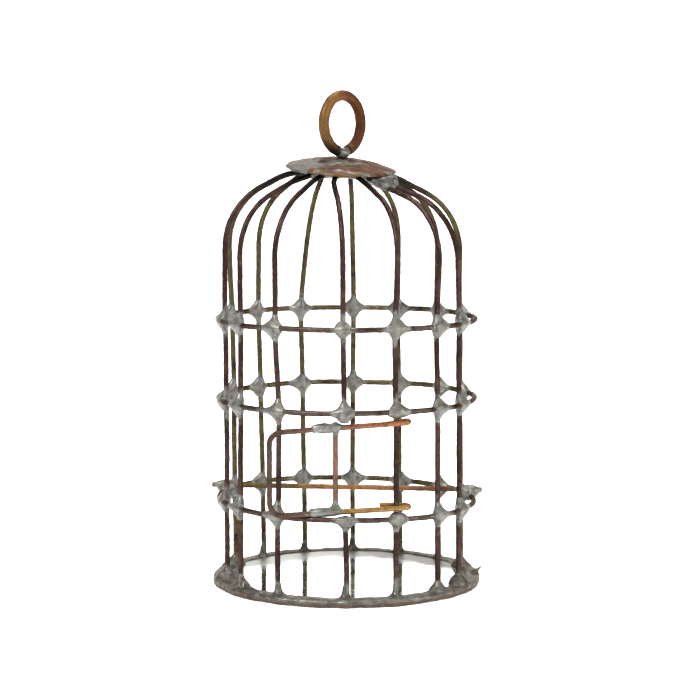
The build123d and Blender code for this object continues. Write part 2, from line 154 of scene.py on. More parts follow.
def round_frame(node):
    """Centre, two axes and normal of a CAD node that is round about an axis."""
    points = np.unique(cad_mesh(node)[0].round(4), axis=0)
    centre = (points.max(0) + points.min(0)) / 2
    normal = np.linalg.svd(points - points.mean(0), full_matrices=False)[2][2]
    normal = normal * np.sign(normal[2])
    side = unit(np.cross((0, 1, 0), normal))
    return centre, side, np.cross(normal, side), normal


def hoop_circle(node):
    """Centre, axes, normal and centreline radius of a hoop."""
    centre, side, ahead, normal = round_frame(node)
    points, _ = cad_mesh(node)
    radius = np.linalg.norm(points - centre, axis=1).max() - WIRE_RADIUS
    return centre, side, ahead, normal, radius


# ---- making meshes ------------------------------------------------------------------------------


def ripple(points, size, height, seed):
    """A smooth, seeded unevenness over points: waves about size mm long and height mm high."""
    waves, crest = 6, 2.4
    rng = np.random.default_rng(seed)
    total = np.zeros(len(points))
    for _ in range(waves):
        way = unit(rng.normal(size=3))
        length = size * rng.uniform(0.6, 1.6)
        total += np.sin(points @ way * (2 * math.pi / length) + rng.uniform(0, 2 * math.pi))
    return total * height / crest


def make_piece(name, parts, body, replaced, material, marks=None):
    """One mesh object from a list of (points in mm, faces), standing in for the replaced CAD nodes.

    marks maps the name of a value painted on the points to its values.
    """
    points, faces, first = [], [], 0
    for part_points, part_faces in parts:
        points.append(part_points)
        faces.extend([int(i) + first for i in face] for face in part_faces)
        first += len(part_points)
    points = np.vstack(points)
    mesh = bpy.data.meshes.new(name)
    mesh.from_pydata((points * MM).tolist(), [], faces)
    work = bmesh.new()
    work.from_mesh(mesh)
    bmesh.ops.recalc_face_normals(work, faces=work.faces)
    work.to_mesh(mesh)
    work.free()
    mesh.shade_smooth()
    for mark, values in (marks or {}).items():
        attribute = mesh.attributes.new(mark, "FLOAT", "POINT")
        attribute.data.foreach_set("value", values.astype(np.float32))
    mesh.materials.append(material)
    piece = bpy.data.objects.new(name, mesh)
    bpy.context.scene.collection.objects.link(piece)
    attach(piece, body)
    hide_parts(*replaced)
    return piece


def tube(line, radius, sides=18, closed=False, dent=0.03, seed=0):
    """A hand-worked wire: rings of points along line, slightly dented, with softened cut ends."""
    ways = np.gradient(line, axis=0)
    if closed:
        ways = np.roll(line, -1, axis=0) - np.roll(line, 1, axis=0)
    ways /= np.linalg.norm(ways, axis=1)[:, None]
    side, _ = across(ways[0])
    rings = []
    angles = np.arange(sides) * 2 * math.pi / sides
    for centre, way in zip(line, ways):
        side = unit(side - way * (side @ way))
        up = np.cross(way, side)
        rings.append(centre + radius * (np.outer(np.cos(angles), side) + np.outer(np.sin(angles), up)))
    count = len(rings)
    if not closed:
        for end, way in ((0, -ways[0]), (-1, ways[-1])):
            face = line[end] + (rings[end] - line[end]) * END_FACE
            rings[end] = line[end] - way * radius * END_BACK + (rings[end] - line[end]) * END_RING
            rings.insert(0 if end == 0 else len(rings), face)
        count = len(rings)
    points = np.vstack(rings)
    faces = []
    for i in range(count if closed else count - 1):
        j = (i + 1) % count
        for a in range(sides):
            b = (a + 1) % sides
            faces.append([i * sides + a, i * sides + b, j * sides + b, j * sides + a])
    if not closed:
        faces.append(list(range(sides))[::-1])
        faces.append([(count - 1) * sides + a for a in range(sides)])
    centres = np.repeat(np.array([ring.mean(0) for ring in rings]), sides, axis=0)
    out = points - centres
    length = np.linalg.norm(out, axis=1)[:, None]
    dents = ripple(points, 1.6, dent * 0.7, seed) + ripple(points, 0.5, dent * 0.35, seed + 1)
    points = points + out / np.maximum(length, 1e-6) * dents[:, None] * (length / radius)
    return points, faces


def smooth_min(a, b, width):
    """The lower of two distances, rounded where they are within width of each other."""
    h = np.maximum(width - np.abs(a - b), 0) / width
    return np.minimum(a, b) - h * h * width / 4


def mesh_field(field, low, high, voxel):
    """The surface where a field of distances is zero, as points and quads."""
    axes = [np.arange(a, b + voxel, voxel) for a, b in zip(low, high)]
    points = np.stack(np.meshgrid(*axes, indexing="ij"), -1).reshape(-1, 3)
    values = field(points).reshape([len(a) for a in axes]).astype(np.float32)
    grid = openvdb.FloatGrid(NO_SOLDER)
    grid.copyFromArray(values)
    surface, quads = grid.convertToQuads(isovalue=0.0)
    return np.asarray(surface) * voxel + np.array(low), np.asarray(quads)[:, ::-1].astype(int)


def coated(along, up, down, film):
    """Radius of a wire's coat of solder: thickest at 0, nothing past up and down, where it closes inside."""
    reach = np.where(along > 0, up, down)
    share = np.abs(along) / reach
    inside = WIRE_RADIUS + film * (1 - share**2)
    past = WIRE_RADIUS - COAT_CLOSING * (np.abs(along) - reach)
    return np.where(share < 1, inside, past)


# ---- the wires' places --------------------------------------------------------------------------

bar_lines = {name: bar_line(name) for name in BARS}
hoop_circles = {name: hoop_circle(name) for name in HOOPS}


def crossing(bar, hoop):
    """Where a bar passes a hoop: the point on the bar, the bar's direction, and the hoop's angle."""
    centre, side, ahead, normal, _ = hoop_circles[hoop]
    line = bar_lines[bar]
    height = (line - centre) @ normal
    if height.min() > CROSSING_SLACK or height.max() < -CROSSING_SLACK:
        return None
    i = int(np.clip(np.searchsorted(height, 0), 1, len(line) - 1))
    share = np.clip(height[i - 1] / (height[i - 1] - height[i]), 0, 1)
    point = line[i - 1] + share * (line[i] - line[i - 1])
    rel = point - centre
    return point, unit(line[i] - line[i - 1]), math.atan2(rel @ ahead, rel @ side)


crossings = {}
for hoop in HOOPS:
    for bar in BARS:
        found = crossing(bar, hoop)
        if found:
            crossings[hoop, bar] = found
feet = {bar: bar_lines[bar][0] for bar in BARS if bar_lines[bar][0][2] < FOOT_BELOW}
tinned_spots = [found[0] for found in crossings.values()] + list(feet.values())
cap_centre, cap_side, cap_ahead, cap_up = round_frame("cap_disc")


def tin_marks(points, spots, reach=TINNED_REACH, seed=3):
    """How tinned each point is, from 0 to 1: full near a joint, ragged at the coat's edge."""
    nearest = np.min([np.linalg.norm(points - spot, axis=1) for spot in spots], axis=0)
    ragged = nearest + ripple(points, 2.2, 0.7, seed) + ripple(points, 0.8, 0.3, seed + 1)
    return np.clip((reach + 0.6 - ragged) / 1.2, 0, 1)


# ---- materials ----------------------------------------------------------------------------------


class Shader:
    """A material and the few node moves that all of these materials are made of."""

    def __init__(self, name):
        self.material = bpy.data.materials.new(name)
        self.material.use_nodes = True
        self.tree = self.material.node_tree
        self.bsdf = self.tree.nodes["Principled BSDF"]
        self.place = self.tree.nodes.new("ShaderNodeTexCoord").outputs["Object"]

    def link(self, value, socket):
        self.tree.links.new(value, socket)

    def noise(self, size, detail=3.0, rough=0.55, warp=0.0, stretch=(1, 1, 1), shift=0.0):
        """Noise with features about size mm across."""
        mapping = self.tree.nodes.new("ShaderNodeMapping")
        mapping.inputs["Scale"].default_value = stretch
        mapping.inputs["Location"].default_value = (shift, shift, shift)
        self.link(self.place, mapping.inputs["Vector"])
        node = self.tree.nodes.new("ShaderNodeTexNoise")
        node.inputs["Scale"].default_value = 1 / (size * MM)
        node.inputs["Detail"].default_value = detail
        node.inputs["Roughness"].default_value = rough
        node.inputs["Distortion"].default_value = warp
        self.link(mapping.outputs["Vector"], node.inputs["Vector"])
        return node.outputs["Fac"]

    def ramp(self, value, stops):
        """Colours or grey levels along value, as (place, colour) pairs."""
        node = self.tree.nodes.new("ShaderNodeValToRGB")
        elements = node.color_ramp.elements
        while len(elements) < len(stops):
            elements.new(0.5)
        for element, (place, colour) in zip(elements, stops):
            element.position = place
            level = colour if isinstance(colour, tuple) else (colour, colour, colour)
            element.color = (*level, 1)
        self.link(value, node.inputs["Fac"])
        return node.outputs["Color"]

    def mix(self, share, a, b, blend="MIX"):
        """Colour a, or b where share is 1."""
        node = self.tree.nodes.new("ShaderNodeMix")
        node.data_type = "RGBA"
        node.blend_type = blend
        for value, socket in ((share, node.inputs[0]), (a, node.inputs[6]), (b, node.inputs[7])):
            if isinstance(value, tuple):
                socket.default_value = (*value, 1)
            elif isinstance(value, (int, float)):
                socket.default_value = value
            else:
                self.link(value, socket)
        return node.outputs[2]

    def mark(self, name):
        """A value painted on the mesh's points."""
        node = self.tree.nodes.new("ShaderNodeAttribute")
        node.attribute_name = name
        return node.outputs["Fac"]

    def coordinate(self, axis, low, high):
        """0 to 1 as the place goes from low to high mm along an axis."""
        split = self.tree.nodes.new("ShaderNodeSeparateXYZ")
        self.link(self.place, split.inputs[0])
        spread = self.tree.nodes.new("ShaderNodeMapRange")
        spread.inputs["From Min"].default_value = low * MM
        spread.inputs["From Max"].default_value = high * MM
        self.link(split.outputs[axis], spread.inputs["Value"])
        return spread.outputs["Result"]

    def bump(self, heights):
        """Bumps from (value, height in mm) pairs, one on another."""
        normal = None
        for value, height in heights:
            node = self.tree.nodes.new("ShaderNodeBump")
            node.inputs["Distance"].default_value = height * MM
            node.inputs["Strength"].default_value = 1.0
            self.link(value, node.inputs["Height"])
            if normal:
                self.link(normal, node.inputs["Normal"])
            normal = node.outputs["Normal"]
        self.link(normal, self.bsdf.inputs["Normal"])

    def radius(self, low, high):
        """0 to 1 as the place goes from low to high mm from the vertical axis through the origin."""
        flat = self.tree.nodes.new("ShaderNodeMapping")
        flat.inputs["Scale"].default_value = (1, 1, 0)
        self.link(self.place, flat.inputs["Vector"])
        length = self.tree.nodes.new("ShaderNodeVectorMath")
        length.operation = "LENGTH"
        self.link(flat.outputs["Vector"], length.inputs[0])
        spread = self.tree.nodes.new("ShaderNodeMapRange")
        spread.inputs["From Min"].default_value = low * MM
        spread.inputs["From Max"].default_value = high * MM
        self.link(length.outputs["Value"], spread.inputs["Value"])
        return spread.outputs["Result"]

    def dull(self, tint):
        """Less glint at the edges, as on oxide: a weak and tinted gloss."""
        self.bsdf.inputs["Specular IOR Level"].default_value = 0.18
        self.bsdf.inputs["Specular Tint"].default_value = (*tint, 1)

    def finish(self, colour, metallic, roughness):
        """The material, with its three main values set or linked."""
        for value, name in ((colour, "Base Color"), (metallic, "Metallic"), (roughness, "Roughness")):
            socket = self.bsdf.inputs[name]
            if isinstance(value, float):
                socket.default_value = value
            else:
                self.link(value, socket)
        return self.material


# Colours that several materials share.
MAROON = (0.026, 0.013, 0.011)
PLUM = (0.047, 0.027, 0.024)
# Near-black, for the painted shade under the cap and the dark lower left of the ring.
NEAR_BLACK = (0.010, 0.008, 0.007)
OLIVE = (0.060, 0.052, 0.021)
UMBER = (0.022, 0.014, 0.011)
GOLD = (0.25, 0.125, 0.052)
SOLDER = (0.112, 0.109, 0.096)
SOLDER_DARK = (0.052, 0.047, 0.038)
SOLDER_BRIGHT = (0.170, 0.170, 0.155)


def solder_colour(shader):
    """Mottled grey: dull, with darker dross in the hollows of the noise and bright flecks."""
    bright = shader.ramp(shader.noise(1.9, 4, 0.6), [(0.38, 0.0), (0.62, 1.0)])
    base = shader.mix(bright, SOLDER, SOLDER_BRIGHT)
    dross = shader.ramp(shader.noise(1.1, 5, 0.65, shift=0.3), [(0.50, 0.0), (0.66, 1.0)])
    base = shader.mix(dross, base, SOLDER_DARK)
    tint = shader.ramp(shader.noise(3.5, 2, 0.5, shift=0.7), [(0.45, 0.0), (0.7, 0.45)])
    return shader.mix(tint, base, (0.115, 0.098, 0.066))


def solder_material():
    shader = Shader("solder")
    roughness = shader.ramp(shader.noise(1.2, 3, 0.6, shift=0.5), [(0.3, 0.36), (0.7, 0.54)])
    shader.bump([(shader.noise(1.1, 3, 0.55), 0.05), (shader.noise(0.3, 3, 0.6), 0.014)])
    return shader.finish(solder_colour(shader), 0.7, roughness)


def browned_and_shaded_solder_material():
    """Solder that flux has browned, as under the cap, where no one cleaned it, and darkened in patches by
    dross and by painted shade of the cap.
    """
    shader = Shader("browned_and_shaded_solder")
    # Near-black patches: partly dross, partly painted shade under the cap.
    darkening = shader.ramp(shader.noise(1.3, 4, 0.65, shift=0.15), [(0.36, 0.9), (0.58, 0.1)])
    colour = shader.mix(darkening, solder_colour(shader), (0.020, 0.017, 0.013))
    roughness = shader.ramp(shader.noise(1.2, 3, 0.6, shift=0.5), [(0.3, 0.34), (0.7, 0.56)])
    shader.bump([(shader.noise(0.9, 4, 0.6), 0.09), (shader.noise(0.3, 3, 0.6), 0.02)])
    return shader.finish(colour, 0.65, roughness)


def wire_material(name, front, lighter, back, fleck, fleck_share=0.35):
    """Patinated copper wire, in front's and lighter's colours before the perch and back's behind it.

    It is tinned where the mesh's tin mark says, and turns near-black under the cap as painted shade.
    """
    shader = Shader(name)
    depth = shader.coordinate("Y", -14, 16)
    ragged = shader.mix(0.30, depth, shader.noise(7, 3, 0.6))
    lit = shader.ramp(shader.noise(9, 2, 0.5, shift=0.6), [(0.42, 0.0), (0.58, 1.0)])
    bare = shader.mix(lit, front, lighter)
    patina = shader.mix(shader.ramp(ragged, [(0.38, 0.0), (0.66, 1.0)]), bare, back)
    streak = shader.noise(2.6, 4, 0.6, warp=0.6, shift=0.2)
    patina = shader.mix(shader.ramp(streak, [(0.34, 1.0), (0.54, 0.0)]), patina, UMBER)
    worn = shader.ramp(shader.noise(1.4, 4, 0.65, shift=0.9), [(0.55, 0.0), (0.72, fleck_share)])
    patina = shader.mix(worn, patina, fleck)
    tin = shader.mark("tin")
    colour = shader.mix(tin, patina, solder_colour(shader))
    # Painted shade: the bars turn near-black just under the cap, for the cap's shadow on them.
    painted_cap_shade = shader.ramp(shader.mix(0.3, shader.coordinate("Z", 73.5, 79), shader.noise(2, 3, 0.6)),
                       [(0.25, 0.0), (0.62, 0.95)])
    colour = shader.mix(painted_cap_shade, colour, NEAR_BLACK)
    roughness = shader.ramp(shader.noise(1.8, 3, 0.6, shift=0.4), [(0.3, 0.34), (0.7, 0.54)])
    shader.bump([(shader.noise(1.3, 3, 0.6), 0.05), (shader.noise(0.3, 3, 0.6), 0.016)])
    shader.dull((0.40, 0.34, 0.30))
    return shader.finish(colour, 0.78, roughness)


def graded_wire_material(name, axis, low, high, stops, streaks=0.6, low_tint=None, metallic=0.7,
                         dark_below=None):
    """Copper wire, whose colours change along an axis; on the ring this change is painted light and shade.

    Below 20 mm up they turn to low_tint, and on the left below dark_below to near-black.
    """
    shader = Shader(name)
    ragged = shader.mix(0.22, shader.coordinate(axis, low, high), shader.noise(4, 3, 0.6))
    patina = shader.ramp(ragged, stops)
    if low_tint:
        share = shader.mix(1.0, shader.coordinate("Z", 21, 18), shader.coordinate("X", -6, 2), "MULTIPLY")
        patina = shader.mix(share, patina, low_tint)
    streak = shader.ramp(shader.noise(1.5, 4, 0.65, warp=0.5), [(0.34, streaks), (0.52, 0.0)])
    patina = shader.mix(streak, patina, UMBER)
    # Near-black at the lower left, where the ring meets the cap.
    if dark_below:
        darkening = shader.mix(1.0, shader.coordinate("Z", dark_below, dark_below - 3.0),
                           shader.coordinate("X", 0.2, -1.2), "MULTIPLY")
        patina = shader.mix(darkening, patina, NEAR_BLACK)
    colour = shader.mix(shader.mark("tin"), patina, solder_colour(shader))
    roughness = shader.ramp(shader.noise(1.8, 3, 0.6, shift=0.4), [(0.3, 0.36), (0.7, 0.54)])
    shader.bump([(shader.noise(1.3, 3, 0.6), 0.05), (shader.noise(0.3, 3, 0.6), 0.014)])
    shader.dull((0.45, 0.36, 0.28))
    return shader.finish(colour, metallic, roughness)


def cap_material():
    """Brown and green copper, with its painted smears of solder, a painted highlight along its front edge,
    and dark spots.
    """
    shader = Shader("cap_copper")
    streaks = shader.noise(2.4, 5, 0.65, warp=0.8, stretch=(0.45, 1.4, 1.0))
    copper = shader.ramp(streaks, [(0.30, (0.022, 0.012, 0.008)), (0.44, (0.058, 0.026, 0.016)),
                                   (0.56, (0.086, 0.043, 0.024)), (0.72, (0.12, 0.080, 0.044))])
    green = shader.ramp(shader.noise(3.1, 3, 0.6, shift=0.6), [(0.52, 0.0), (0.66, 0.6)])
    copper = shader.mix(green, copper, (0.095, 0.085, 0.050))
    # The tin mark here also carries a painted highlight along the cap's front edge.
    solder_and_edge_highlight = shader.mix(shader.mark("tin"), copper, solder_colour(shader))
    colour = shader.mix(shader.mark("dark"), solder_and_edge_highlight, (0.02, 0.017, 0.015))
    roughness = shader.ramp(shader.noise(1.6, 3, 0.6), [(0.3, 0.40), (0.7, 0.60)])
    shader.bump([(shader.noise(1.7, 3, 0.55), 0.09), (shader.noise(0.4, 3, 0.6), 0.02)])
    shader.dull((0.5, 0.42, 0.36))
    return shader.finish(colour, 0.55, roughness)


def rim_material():
    """Solder, with brown copper foil showing low on the outside."""
    shader = Shader("rim_solder")
    low = shader.coordinate("Z", 1.15, 0.35)
    brown = shader.ramp(shader.mix(0.45, low, shader.noise(2.4, 4, 0.6)), [(0.34, 0.0), (0.56, 0.85)])
    grime = shader.ramp(shader.noise(1.7, 4, 0.65, shift=0.35), [(0.40, 0.75), (0.60, 0.0)])
    grey = shader.mix(grime, solder_colour(shader), (0.060, 0.052, 0.042))
    behind = shader.mix(0.35, shader.coordinate("Y", 8, 21), shader.noise(2.2, 3, 0.6, shift=0.8))
    grey = shader.mix(shader.ramp(behind, [(0.45, 0.0), (0.75, 0.8)]), grey, (0.035, 0.027, 0.020))
    copper = shader.ramp(shader.noise(1.3, 4, 0.6),
                         [(0.35, (0.036, 0.025, 0.019)), (0.65, (0.085, 0.055, 0.038))])
    roughness = shader.ramp(shader.noise(1.2, 3, 0.6, shift=0.5), [(0.3, 0.34), (0.7, 0.54)])
    shader.bump([(shader.noise(1.0, 4, 0.6), 0.08), (shader.noise(0.3, 3, 0.6), 0.02)])
    shader.dull((0.6, 0.55, 0.5))
    return shader.finish(shader.mix(brown, grey, copper), 0.7, roughness)


def mirror_material():
    """Silvered glass, a little hazy, with a painted reflection and shadow of the rim along its back edge,
    where it is rougher.
    """
    shader = Shader("mirror")
    haze = shader.ramp(shader.noise(9, 4, 0.6), [(0.35, 0.045), (0.7, 0.13)])
    tone = shader.ramp(shader.noise(14, 3, 0.5, shift=0.4),
                       [(0.3, (0.74, 0.75, 0.735)), (0.7, (0.85, 0.86, 0.845))])
    # Painted reflection and shadow: a band along the back edge, grey at the left and brown at the right, for
    # the rim's inner side and its shade seen in the glass.
    edge = shader.mix(1.0, shader.radius(10, 21), shader.coordinate("Y", -3, 10), "MULTIPLY")
    painted_rim_reflection = shader.ramp(shader.mix(0.40, edge, shader.noise(3.4, 4, 0.65)), [(0.34, 0.0), (0.66, 0.9)])
    reflected_rim_tone = shader.mix(shader.coordinate("X", -4, 8), (0.30, 0.31, 0.27), (0.10, 0.082, 0.066))
    tone = shader.mix(painted_rim_reflection, tone, reflected_rim_tone)
    haze = shader.mix(painted_rim_reflection, haze, (0.5, 0.5, 0.5))
    shader.bump([(shader.noise(22, 2, 0.5), 0.02)])
    return shader.finish(tone, 1.0, haze)


def backing_material():
    shader = Shader("backing_paint")
    tone = shader.ramp(shader.noise(1.2, 5, 0.6),
                       [(0.3, (0.10, 0.105, 0.115)), (0.7, (0.15, 0.155, 0.165))])
    shader.bump([(shader.noise(0.6, 4, 0.6), 0.04)])
    return shader.finish(tone, 0.0, 0.7)


def foil_material():
    shader = Shader("edge_foil")
    tone = shader.ramp(shader.noise(1.5, 4, 0.6), [(0.3, (0.30, 0.12, 0.06)), (0.7, (0.55, 0.26, 0.14))])
    shader.bump([(shader.noise(0.8, 4, 0.6), 0.04)])
    return shader.finish(tone, 1.0, 0.35)


solder = solder_material()
dark_copper = wire_material("dark_copper_wire", MAROON, PLUM, OLIVE, (0.15, 0.085, 0.05))
hoop_copper = wire_material("hoop_copper", PLUM, (0.058, 0.042, 0.037), OLIVE, (0.16, 0.13, 0.11), 0.45)
perch_copper = graded_wire_material(
    "perch_copper", "X", -26, 26,
    [(0.12, OLIVE), (0.34, (0.11, 0.072, 0.030)), (0.5, GOLD), (0.66, (0.17, 0.085, 0.038)),
     (0.85, (0.06, 0.034, 0.022))])
door_copper = graded_wire_material(
    "door_copper", "X", -14, 11,
    [(0.05, (0.046, 0.032, 0.028)), (0.35, (0.10, 0.055, 0.040)), (0.6, (0.17, 0.075, 0.042)),
     (0.9, (0.27, 0.100, 0.045))], low_tint=(0.23, 0.135, 0.045))
upright_copper = graded_wire_material(
    "upright_copper", "Z", 17, 34,
    [(0.1, (0.10, 0.060, 0.048)), (0.5, (0.16, 0.082, 0.055)), (0.9, (0.12, 0.062, 0.045))])
browned_and_shaded_solder = browned_and_shaded_solder_material()
# Painted light and shade: lighter gold at the left, where the light falls, darker red-brown at the right,
# which is in shade.
ring_copper = graded_wire_material(
    "ring_copper", "X", -5, 3.4,
    [(0.1, (0.100, 0.053, 0.018)), (0.40, (0.13, 0.060, 0.018)), (0.60, (0.085, 0.031, 0.011)),
     (0.85, (0.060, 0.018, 0.007))], streaks=0.55, metallic=0.35, dark_below=86.3)


# ---- bars, hoops, perch -------------------------------------------------------------------------


def swerved(line, seed, amount=0.06):
    """A line that wanders a little, as hand-bent wire does."""
    shift = np.stack([ripple(line, SWERVE_WAVE, amount, seed + axis) for axis in range(3)], -1)
    return line + shift


def make_wire(name, node, shape, tinned, material, body="cage", reach=TINNED_REACH, seed=0):
    """A piece of wire in place of a CAD node, tinned round some spots."""
    marks = {"tin": tin_marks(shape[0], tinned, reach, seed)}
    make_piece(name, [shape], body, [node], material, marks)


def hoop_line(name):
    """Points round a hoop's centreline."""
    centre, side, ahead, _, radius = hoop_circles[name]
    turns = np.arange(HOOP_STEPS) * 2 * math.pi / HOOP_STEPS
    return centre + radius * (np.outer(np.cos(turns), side) + np.outer(np.sin(turns), ahead))


for number, name in enumerate(BARS):
    shape = tube(swerved(bar_lines[name], 10 * number), WIRE_RADIUS, seed=number)
    make_wire(f"{name}_wire", name, shape, tinned_spots, dark_copper, seed=number + 40)

for number, name in enumerate(HOOPS):
    shape = tube(swerved(hoop_line(name), 300 + number), WIRE_RADIUS, closed=True, seed=60 + number)
    make_wire(f"{name}_wire", name, shape, tinned_spots, hoop_copper, seed=number + 80)

PERCH_TIN_IN = 2.2      # how far in from the perch's ends the middle of its tinning is
PERCH_TIN_REACH = 3.0
perch_points, _ = cad_mesh("perch")
perch_start = perch_points[perch_points[:, 0] < perch_points[:, 0].min() + 0.05].mean(0)
perch_line = follow("perch", perch_start + (0.05, 0, 0), (1, 0, 0))
perch_ends = [perch_line[0] + (PERCH_TIN_IN, 0, 0), perch_line[-1] - (PERCH_TIN_IN, 0, 0)]
shape = tube(perch_line, WIRE_RADIUS, seed=91)
make_wire("perch_wire", "perch", shape, perch_ends, perch_copper, reach=PERCH_TIN_REACH, seed=92)


# ---- solder joints ------------------------------------------------------------------------------

# Joints beside the door's loops and upright stop short above or below, where the door passes.
LIMITS = {
    ("middle_hoop", "bar_02_hinge"): (None, 1.05),
    ("lower_hoop", "bar_02_hinge"): (1.25, None),
    ("middle_hoop", "bar_01_above_door"): (None, 1.9),
    ("lower_hoop", "bar_01_below_door"): (0.62, None),
}
SMALL_JOINTS = {("upper_hoop", "bar_01_above_door"): 0.62}
LUMP_BLEND = 0.9        # how widely a joint's lump runs into its web
LIMIT_BLEND = 0.4       # how round a joint's edge is where it stops short
JOINT_OUT = 0.5         # how far out the middle of a joint's room is
JOINT_ROOM_WIDE, JOINT_ROOM_DEEP = 4.0, 2.1     # half the room a joint's surface is looked for in


def joint(hoop, bar, seed):
    """The solder round one crossing: coats on both wires, a web between them, and a lump outside."""
    point, way, angle = crossings[hoop, bar]
    centre, side, ahead, normal, radius = hoop_circles[hoop]
    rng = np.random.default_rng(seed)
    size = SMALL_JOINTS.get((hoop, bar), 1.0)
    reach = JOINT_REACH * size * rng.uniform(0.8, 1.2, size=4)
    film = SOLDER_FILM * rng.uniform(0.7, 1.5)
    outward = unit(math.cos(angle) * side + math.sin(angle) * ahead)
    tangent = np.cross(normal, outward)
    lump = point + outward * rng.uniform(0.45, 0.6) + tangent * rng.uniform(-0.3, 0.3)
    lump = lump + way * rng.uniform(-0.3, 0.3)
    lump_size = rng.uniform(1.0, 1.3)
    lump_half = rng.uniform(0.42, 0.6)
    above, below = LIMITS.get((hoop, bar), (None, None))

    def field(points):
        rel = points - point
        along = rel @ way
        to_bar = np.linalg.norm(rel - along[:, None] * way, axis=1)
        coat = to_bar - coated(along, reach[0], reach[1], film)
        out = points - centre
        flat_x, flat_y, height = out @ side, out @ ahead, out @ normal
        to_hoop = np.hypot(np.hypot(flat_x, flat_y) - radius, height)
        round_way = (np.arctan2(flat_y, flat_x) - angle + math.pi) % (2 * math.pi) - math.pi
        other = to_hoop - coated(round_way * radius, reach[2], reach[3], film)
        web = smooth_min(coat, other, SOLDER_WEB * size)
        off = points - lump
        flat = off + np.outer(off @ outward, outward) * (lump_size / lump_half - 1)
        ball = (np.linalg.norm(flat, axis=1) / lump_size - 1) * lump_half
        whole = smooth_min(web, ball, LUMP_BLEND) + ripple(points, 1.9, 0.03, seed)
        if above is not None:
            whole = -smooth_min(-whole, above - along, LIMIT_BLEND)
        if below is not None:
            whole = -smooth_min(-whole, below + along, LIMIT_BLEND)
        return whole

    middle = point + outward * JOINT_OUT
    half = np.abs(tangent) * JOINT_ROOM_WIDE + np.abs(outward) * JOINT_ROOM_DEEP
    half = half + np.array([0, 0, JOINT_ROOM_WIDE])
    return mesh_field(field, middle - half, middle + half, JOINT_VOXEL)


for number, hoop in enumerate(HOOPS):
    parts = [joint(hoop, bar, 500 + 20 * number + i)
             for i, bar in enumerate(BARS) if (hoop, bar) in crossings]
    make_piece(f"{hoop}_joints", parts, "cage", [f"{hoop}_solder"], solder)

BEAD_BLEND = 0.7        # how widely the balls of one bead run together


def bead_round(spots, sizes, wires, low, high, voxel=JOINT_VOXEL, web=1.0, seed=0):
    """A bead of solder: balls at spots, drawn along wires, each a (point, way, reach up, reach down, film).

    low and high are the corners of the room that its surface is looked for in.
    """

    def field(points):
        whole = np.full(len(points), NO_SOLDER)
        for spot, size in zip(spots, sizes):
            size = np.array(size)
            ball = (np.linalg.norm((points - spot) / size, axis=1) - 1) * size.min()
            whole = smooth_min(whole, ball, BEAD_BLEND)
        for start, way, up, down, film in wires:
            rel = points - start
            along = rel @ way
            away = np.linalg.norm(rel - along[:, None] * way, axis=1)
            whole = smooth_min(whole, away - coated(along, up, down, film), web)
        return whole + ripple(points, 1.5, 0.05, seed)

    return mesh_field(field, low, high, voxel)


PERCH_BEAD = (1.0, 1.0, 0.95)       # the bead's half sizes
PERCH_BEAD_DOWN = 0.55              # how far its middle is below the perch
HOOP_BELOW_BEAD = 0.5               # and the hoop below that
PERCH_BEAD_ROOM = 3.2


def perch_bead(end, outward):
    """The solder over one end of the perch, on the lower hoop. outward is 1 at the right, -1 at the left."""
    *_, hoop_radius = hoop_circles["lower_hoop"]
    x = outward * math.sqrt(hoop_radius**2 - end[1] ** 2)
    on_perch = np.array([x, end[1], end[2]])
    spot = on_perch - (0, 0, PERCH_BEAD_DOWN)
    tangent = unit(np.array([-end[1], x, 0.0]))
    wires = [(on_perch, unit(perch_line[-1] - perch_line[0]), 2.0, 2.0, 0.18),
             (spot - (0, 0, HOOP_BELOW_BEAD), tangent, 1.9, 1.9, 0.15)]
    return bead_round([spot], [PERCH_BEAD], wires, spot - PERCH_BEAD_ROOM, spot + PERCH_BEAD_ROOM,
                      web=1.6, seed=int(x) + 700)


beads = [perch_bead(perch_ends[0], -1), perch_bead(perch_ends[1], 1)]
make_piece("perch_beads", beads, "cage", ["perch_solder"], solder)


# ---- base ---------------------------------------------------------------------------------------

RIM_MID, RIM_HALF, RIM_TOP = 24.35, 1.62, 1.55      # the band's middle radius, half width and height
RIM_ROUND = 0.6                                     # its corners' radius
RIM_LOW, RIM_HIGH = (-26.9, -26.9, -0.5), (26.9, 26.9, 5.6)
FOOT_ROOM = 4.5         # how far round a foot its solder is looked for
FOOT_FILM = 0.14
FOOT_DOWN = 2.0         # how far a foot's coat runs down
HEAP_BLEND = 1.2        # how widely a heap runs into the rim

# Half sizes of the heaps of solder over the feet at the left and right.
BIG_FEET = {"bar_11": (1.9, 1.9, 1.5), "bar_12": (2.1, 2.2, 1.7), "bar_13": (1.6, 1.5, 1.3),
            "bar_04": (1.9, 1.9, 1.6), "bar_05": (1.7, 1.7, 1.4), "bar_03": (1.4, 1.4, 1.2)}

# A burr of solder drawn up and out at the right edge.
BURR_ROOT, BURR_TIP = np.array([24.9, 0.4, 1.5]), np.array([26.5, 0.2, 2.9])
BURR_THICK, BURR_THIN = 0.55, 0.06
BURR_BLEND = 0.5

# A fold of foil at the front left. It starts on the inside of the rim and runs out and down.
FOLD_FROM, FOLD_SPAN = -58, 18      # degrees round from the front
FOLD_IN, FOLD_OUT = 23.2, 1.5       # its radius from the middle at the start, and how far out it runs
FOLD_TOP, FOLD_FALL = 2.15, 0.7     # its height at the start, and how far it falls
FOLD_THICK, FOLD_BLEND = 0.34, 0.35


def spike(points, root, tip, thick, thin):
    """Distance to a tapered spike."""
    way = tip - root
    share = np.clip((points - root) @ way / (way @ way), 0, 1)
    return np.linalg.norm(points - root - share[:, None] * way, axis=1) - (thick + (thin - thick) * share)


